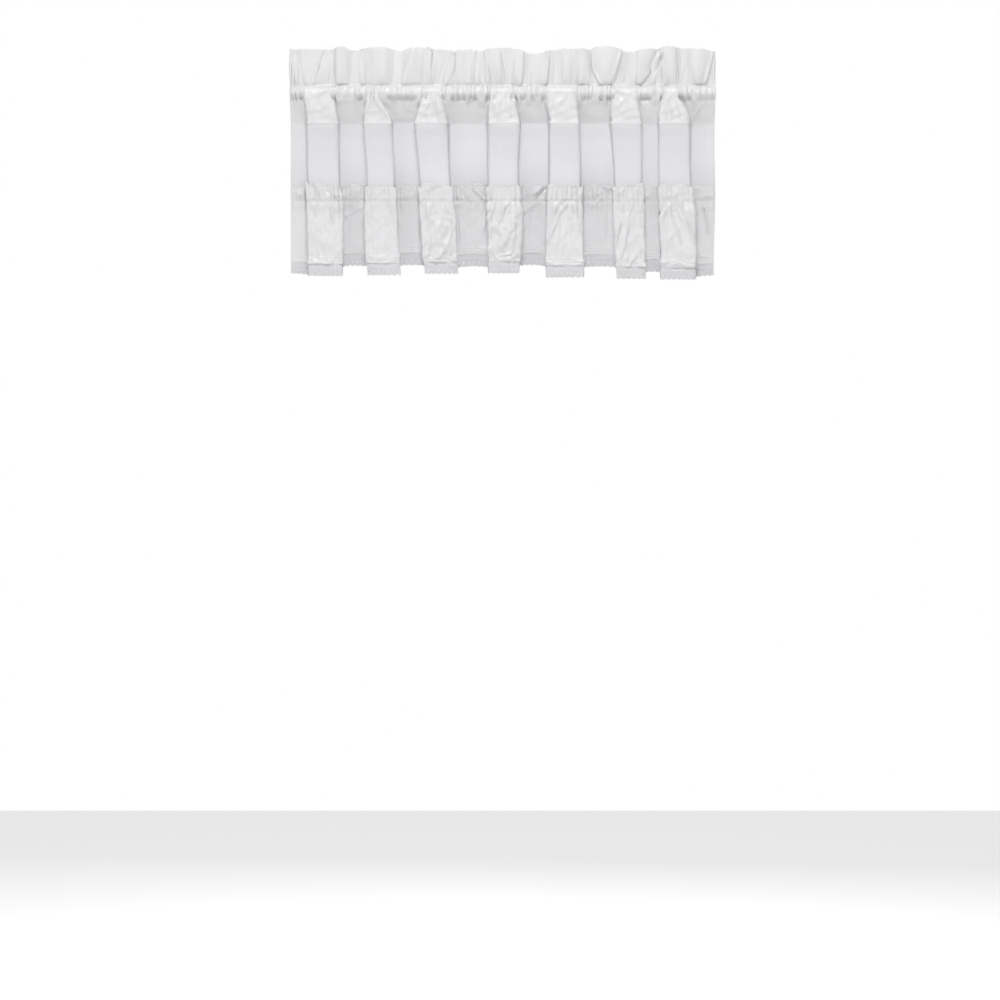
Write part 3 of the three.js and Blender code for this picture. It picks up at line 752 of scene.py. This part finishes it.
# ---------------------------------------------------------------------------------------------------------
# Ruffle: a longer strip of cotton, gathered onto the panel by one line of stitches, with a narrow frill of
# its own above them and three pin tucks above its hem. It is the most crumpled cloth of the valance.
RUFFLE_TOP = -129.0
RUFFLE_SEAM = -152.0
LACE_WIDTH = 17.0
HEM_ARCH = 3.0  # of the hem in a hollow
RUFFLE_FLAT = (1.20, 0.118)
RUFFLE_COLUMNS = 860
RUFFLE_PUCKER = 3.2
RUFFLE_GAP = 1.7  # least stand-off in front and behind; the sides of a fold can come closer
RUFFLE_MIDDLE = -200.0  # height at which the columns are shared out evenly
TUCKS = (2.6, 6.2, 9.8)  # heights of the pin tucks above the hem
TUCK_BAND = 12.0  # height of the strip that holds them
TUCK_HEIGHT, TUCK_WIDTH = 0.5, 0.8
STITCH_DIP, STITCH_WIDTH = 0.25, 0.9  # of the line of stitches
CRUMPLE = 2.9
CREASE_GAIN = 1.2  # on the heights in RUFFLE_CREASES
TUCK_ROWS, SKIRT_ROWS, HEAD_ROWS = 17, 26, 15
SKIRT_POWER = 0.85  # below one, so that the rows lie closer towards the seam
GATHER_RUN, GATHER_END = 19, 2  # how far a gather runs down: times its reach, and added for all
GATHER_WAVES = (29, 13)  # the slow and the quick wave by which the gathers grow uneven along the cloth
RIPPLE_WAVE = 37
FOLD_BELLY = 0.6  # how far the ruffle bellies out on a fold

# The small frill above the stitches: how far its edge lies lower than RUFFLE_TOP, and what ripples and
# gathers add to that; how far the ripples lean out and the whole leans back; its rim; and its crumples.
EDGE_DIP, EDGE_RIPPLE, EDGE_GATHER = 4.5, 8.0, 1.1
RIPPLE_LEAN, LEAN_BACK = 3.0, 1.7
RIM = 0.9
HEAD_CRUMPLE, MEAN_HEAD_CRUMPLE = 2.0, 0.45

# How far the middle of the ruffle's cloth stands off the panel's, and the depth of its gathers.
RUFFLE_SHAPE = np.array([
    (-262, 2.6, 0.8),
    (-230, 2.8, 1.0),
    (-190, 2.9, 1.0),
    (-164, 2.7, 0.8),
    (-152, 2.6, 0.3),
    (-140, 2.7, 0.8),
    (-128, 2.7, 1.1),
], float)

# How crumpled each big fold's ruffle is.
FOLD_CRUMPLES = np.array([0.8, 0.7, 1.2, 1.5, 0.7, 0.8, 0.9])

# Creases of the ruffle below its seam and, at the end, of its small frill above it, as the heading's.
RUFFLE_CREASES = [
    ([(-267, -157), (-273, -195), (-270, -207)], 2.2, 1.2),
    ([(-255, -157), (-249, -192)], 3.0, 1.0),
    ([(-247, -155), (-243, -182), (-238, -196)], 2.0, -1.3),
    ([(-233, -158), (-228, -172)], 1.8, -1.4),
    ([(-230, -188), (-229, -240)], 2.0, 1.0),
    ([(-222, -174), (-208, -164), (-201, -161)], 2.6, 1.4),
    ([(-198, -158), (-200, -182), (-197, -190)], 1.5, 1.2),
    ([(-183, -156), (-186, -172)], 2.0, 1.2),
    ([(-163, -155), (-155, -171)], 1.8, 2.0),
    ([(-156, -157), (-150, -174), (-147, -186)], 2.0, 1.6),
    ([(-118, -178), (-118, -204)], 1.5, -0.8),
    ([(-107, -157), (-111, -172)], 2.0, 1.6),
    ([(-101, -155), (-104, -172)], 1.6, 1.6),
    ([(-90, -182), (-90, -192)], 5.0, 1.6),
    ([(-67, -157), (-67, -180), (-76, -206), (-84, -223), (-90, -230)], 2.4, 2.6),
    ([(-94, -196), (-101, -214), (-107, -228)], 2.2, 2.0),
    ([(-92, -206), (-91, -218)], 3.0, -1.6),
    ([(-59, -166), (-60, -184)], 1.2, 0.8),
    ([(-24, -168), (-26, -192)], 1.8, 1.8),
    ([(3, -156), (0, -170), (-7, -184), (-18, -191)], 2.0, 2.6),
    ([(10, -153), (-4, -170), (-12, -182)], 1.8, 1.6),
    ([(-13, -155), (-15, -168), (-22, -180)], 1.6, 1.5),
    ([(23, -196), (7, -206), (-4, -218)], 1.8, 2.2),
    ([(15, -190), (3, -202), (-7, -212)], 2.2, 1.6),
    ([(21, -221), (10, -226), (-4, -229)], 2.0, 1.8),
    ([(17, -170), (12, -182)], 4.0, 1.4),
    ([(45, -156), (27, -172)], 2.0, 1.2),
    ([(79, -153), (70, -171), (65, -184)], 1.8, 2.0),
    ([(83, -156), (74, -178), (67, -192)], 1.6, -1.6),
    ([(92, -155), (78, -171), (72, -190), (65, -208)], 2.2, 2.4),
    ([(98, -155), (105, -171), (110, -194)], 3.0, 2.4),
    ([(139, -149), (126, -160)], 1.8, 1.4),
    ([(149, -158), (149, -206)], 1.8, -1.0),
    ([(167, -157), (168, -168)], 1.8, 1.6),
    ([(184, -156), (178, -171), (175, -194), (171, -214), (167, -232)], 2.4, 2.4),
    ([(165, -182), (161, -203)], 1.8, 2.0),
    ([(168, -186), (164, -206), (161, -218)], 1.5, -1.8),
    ([(195, -155), (198, -172), (195, -186)], 2.0, 1.8),
    ([(196, -200), (195, -224)], 2.0, 1.4),
    ([(190, -230), (181, -238), (179, -246)], 2.0, 1.6),
    ([(226, -162), (219, -178)], 1.8, -2.0),
    ([(231, -165), (221, -181)], 1.8, 1.8),
    ([(235, -157), (239, -175), (247, -195), (253, -211)], 2.2, 2.4),
    ([(243, -155), (251, -172), (256, -182)], 1.8, 1.6),
    ([(251, -155), (258, -172), (264, -190), (270, -211)], 2.2, 2.6),
    ([(239, -242), (250, -240), (261, -244), (271, -244)], 1.4, 2.0),
    ([(284, -155), (291, -172), (294, -196)], 2.0, 1.8),
    ([(285, -166), (290, -200)], 2.0, -1.5),
    ([(272, -229), (289, -232)], 1.4, 1.2),
    ([(-263, -131), (-255, -150)], 2.0, 1.6),
    ([(-252, -136), (-236, -150)], 2.6, -1.6),
    ([(-235, -137), (-232, -150)], 1.8, 1.4),
    ([(-44, -133), (-31, -145), (-23, -153)], 1.8, 2.4),
    ([(-27, -130), (-16, -147)], 1.8, 2.2),
    ([(-56, -136), (-46, -152)], 1.8, 1.4),
    ([(44, -143), (58, -131)], 1.5, 2.6),
    ([(48, -148), (62, -134)], 1.3, -2.2),
    ([(98, -132), (112, -127)], 2.0, 2.0),
    ([(103, -138), (112, -152)], 2.0, 1.4),
    ([(143, -131), (158, -136)], 1.8, 2.0),
]


def stand_off(phase, z):
    """How far the middle of the ruffle's cloth is from the panel's: the stand-off and the gathers that
    RUFFLE_SHAPE gives for that height."""
    off = through(RUFFLE_SHAPE[:, 0], RUFFLE_SHAPE[:, 1], z)
    deep = through(RUFFLE_SHAPE[:, 0], RUFFLE_SHAPE[:, 2], z)
    return off + deep * gather(phase)


def ruffle_cloth(x, phase, z):
    """The face of the ruffle: the body's cloth, moved off it by the stand-off. In front and behind it moves
    towards the room, by the square of the swing, and at the sides of a fold sideways, by the sine of the
    phase."""
    by = stand_off(phase, z)
    move = np.broadcast_arrays(by * np.sin(phase), by * swing(phase) ** 2, 0)
    return body(x, phase, z) - np.stack(move, axis=-1)


def ruffle_middle(x):
    """The run of the ruffle at RUFFLE_MIDDLE."""
    return ruffle_cloth(x, through(BODY_PLACES, BODY_PHASES, x), np.full_like(x, RUFFLE_MIDDLE))


def hem_height(phase):
    """Height of the ruffle's hem, where the lace begins."""
    arch = HEM_ARCH * (1 - foldness(phase)) * (np.cos(phase) ** 2 - 0.5)
    return along_folds(phase, FOLDS[:, 9], HOLLOWS[:, 1]) + LACE_WIDTH + arch


ruffle_x, ruffle_share = cloth_columns(RUFFLE_COLUMNS, ruffle_middle)
ruffle_phase = through(BODY_PLACES, BODY_PHASES, ruffle_x)
ruffle_s = ruffle_share * RUFFLE_FLAT[0] * 1000
hem = hem_height(ruffle_phase)
gathers, reach = Puckers(seed=21, width=1300, narrowest=5.5, widest=13)(ruffle_s)
ripples, _ = Puckers(seed=34, width=1300, narrowest=12, widest=38)(ruffle_s)
gathers = gathers * (0.4 + 0.7 * np.sin(ruffle_s / GATHER_WAVES[0] + np.sin(ruffle_s / GATHER_WAVES[1])) ** 2)
uneven_ripples = ripples * (0.3 + 0.7 * np.sin(ruffle_s / RIPPLE_WAVE) ** 2)
frill_top = RUFFLE_TOP - EDGE_DIP + EDGE_RIPPLE * uneven_ripples + EDGE_GATHER * gathers
tuck_rows = hem + np.linspace(0, TUCK_BAND, TUCK_ROWS)[:, None]
skirt_share = np.linspace(0, 1, SKIRT_ROWS)[1:, None] ** SKIRT_POWER
skirt_rows = hem + TUCK_BAND + (RUFFLE_SEAM - hem - TUCK_BAND) * skirt_share
head_rows = RUFFLE_SEAM + (frill_top - RUFFLE_SEAM) * np.linspace(0, 1, HEAD_ROWS)[1:, None]
z = np.concatenate([tuck_rows, skirt_rows, head_rows])
ruffle_surface = ruffle_cloth(ruffle_x, ruffle_phase, z)
on_fold = foldness(ruffle_phase)
below, above = np.clip(RUFFLE_SEAM - z, 0, None), np.clip(z - RUFFLE_SEAM, 0, None)
rise = np.clip(above / (RUFFLE_TOP - RUFFLE_SEAM), 0, 1)
lift = RUFFLE_PUCKER * gathers * (0.7 + 0.3 * on_fold) * np.where(
    below > 0,
    (0.3 + 1.1 * ease(0, 5, below)) * np.exp(-below / (GATHER_RUN * reach + GATHER_END)),
    (0.3 + 0.9 * ease(0, 3, above)) * (1 - 0.5 * rise),
)
lean = rise**2 * (RIPPLE_LEAN * ripples - LEAN_BACK)
belly = FOLD_BELLY * on_fold * ease(0, 14, below) * ease(90, 30, below)
lift += lean + RIM * ease(0.85, 1, rise) + belly
fold_middles = (2 * np.arange(len(FOLDS)) + 1) * np.pi
crumpled = (0.25 + 0.75 * on_fold) * np.interp(ruffle_phase, fold_middles, FOLD_CRUMPLES) * ease(2, 14, below)
across = ruffle_surface[..., 0]
rough = crumples(across, z, seed=5, size=19) + 0.7 * crumples(across, z, seed=6, size=8) - MEAN_CRUMPLE
lift += CRUMPLE * crumpled * rough
lift += HEAD_CRUMPLE * ease(1, 8, above) * (crumples(across, z, seed=9, size=10) - MEAN_HEAD_CRUMPLE)
for tuck in TUCKS:
    lift = lift + TUCK_HEIGHT * bell(tuck, TUCK_WIDTH, z - hem)
for points, width, height in RUFFLE_CREASES:
    lift = lift + crease(ruffle_surface, points, width, CREASE_GAIN * height)
lift -= STITCH_DIP * bell(RUFFLE_SEAM, STITCH_WIDTH, z)
lift = np.maximum(lift, RUFFLE_GAP - stand_off(ruffle_phase, z))
ruffle_surface = lifted(ruffle_surface, ruffle_phase, lift)
ruffle_grid, ruffle_rows = stack_rows(ruffle_surface)
ruffle = cloth_piece("ruffle_cloth", ruffle_grid, RUFFLE_FLAT, ruffle_share, ruffle_rows)
ruffle.data.materials.append(cotton("ruffle_cotton", COTTON_WHITE, see_through=0.25))
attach(ruffle, "root")
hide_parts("ruffle")


# ---------------------------------------------------------------------------------------------------------
# Lace edging: a narrow cotton lace, sewn below the ruffle's hem. A ringed eyelet with petals of stitches sits
# above each scallop of its lower edge, and a row of small holes runs along its upper edge.
LACE_FLAT = (1.20, 0.017)
LACE_COLUMNS = 1700
LACE_ROWS = 22
SCALLOP = 9.0  # along the cloth for one scallop
SCALLOP_DEPTH = 1.8
PICOTS, PICOT_DEPTH = 5, 0.3  # the small points on a scallop
LACE_CRUMPLE, LACE_WAVE = 0.5, 0.35
LACE_WHITE = (0.75, 0.75, 0.77)

# The pattern, in millimetres above the lower edge: the eyelets with their rings and petals, the lines of
# stitches with their half widths, the small holes between them, and the border.
EYELET_HEIGHT, EYELET_RADIUS = 6.0, 0.8
RING_RADIUS, RING_HALF = 1.4, 0.5
PETALS, PETAL_RADIUS, PETAL_HALF = 8, 3.0, 0.9
LOWER_LINE, UPPER_LINE = (11.2, 0.45), (15.2, 0.5)
HOLES_HEIGHT, HOLES_APART, HOLE_RADIUS = 13.2, 3.2, 0.5
BORDER = 1.2

lace_x, lace_share = cloth_columns(LACE_COLUMNS, ruffle_middle)
lace_phase = through(BODY_PLACES, BODY_PHASES, lace_x)
lace_s = lace_share * LACE_FLAT[0] * 1000
turns = lace_s / SCALLOP
uneven = 0.75 + 0.25 * np.sin(turns / 2.3)
notch = SCALLOP_DEPTH * uneven * (1 - np.abs(np.sin(np.pi * turns))) ** 1.5
notch = notch + PICOT_DEPTH * (1 - np.abs(np.sin(PICOTS * np.pi * turns)))
drops = (LACE_WIDTH - notch) * np.linspace(1, 0, LACE_ROWS)[:, None]
lace_surface = ruffle_cloth(lace_x, lace_phase, hem_height(lace_phase) - drops)
rough = crumples(lace_surface[..., 0], lace_surface[..., 2], seed=31, size=11)
lift = LACE_CRUMPLE * rough + LACE_WAVE * np.sin(2 * np.pi * turns) * drops / LACE_WIDTH
lace_surface = lifted(lace_surface, lace_phase, lift)
lace_grid, _ = stack_rows(lace_surface)
lace = cloth_piece("lace_cloth", lace_grid, LACE_FLAT, lace_share, np.linspace(0, 1, LACE_ROWS))


def band(value, middle, half):
    """1 where the value is within half of the middle, and 0 elsewhere."""
    return (value - middle).math("ABSOLUTE").math("LESS_THAN", half)


def embroidery(name, colour):
    """Cotton net, drawn in its own map: to each scallop an eyelet with a raised ring and petals around it,
    two lines of close stitches, and small holes between them. The holes are cut from its alpha."""
    shader = Shader(name)
    place = shader.node("UVMap", {"uv_map": "cloth"})
    across = shader.node("SeparateXYZ", inputs={0: place}, output=0) * 1000
    up = shader.node("SeparateXYZ", inputs={0: place}, output=1) * 1000
    x = ((across * (1 / SCALLOP)).math("FRACT") - 0.5) * SCALLOP
    y = up - EYELET_HEIGHT
    away = (x * x + y * y).math("SQRT")
    around = y.math("ARCTAN2", x)
    ring = band(away, RING_RADIUS, RING_HALF)
    petals = (around * PETALS).math("COSINE").math("GREATER_THAN", 0.0) * band(away, PETAL_RADIUS, PETAL_HALF)
    lines = band(up, *LOWER_LINE) + band(up, *UPPER_LINE)
    border = up.math("LESS_THAN", BORDER)
    small_x = ((across * (1 / HOLES_APART)).math("FRACT") - 0.5) * HOLES_APART
    small = (small_x * small_x + (up - HOLES_HEIGHT) * (up - HOLES_HEIGHT)).math("SQRT")
    holes = away.math("LESS_THAN", EYELET_RADIUS) + small.math("LESS_THAN", HOLE_RADIUS)
    net = (across * 2 * np.pi).math("SINE") * (up * 2 * np.pi).math("SINE")
    raised = ring + petals + lines + border + net * 0.25
    bump = shader.node("Bump", {}, {"Height": raised, "Strength": 0.9, "Distance": 0.0005})
    shade = tinted(shader, raised, colour, 0.90)
    front = shader.node(
        "BsdfPrincipled", {}, {"Base Color": shade, "Roughness": 0.7, "Normal": bump, "Alpha": 1 - holes}
    )
    shader.node("OutputMaterial", {}, {"Surface": front})
    return shader.material


lace.data.materials.append(embroidery("lace_cotton", LACE_WHITE))
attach(lace, "root")
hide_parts("lace_edging")
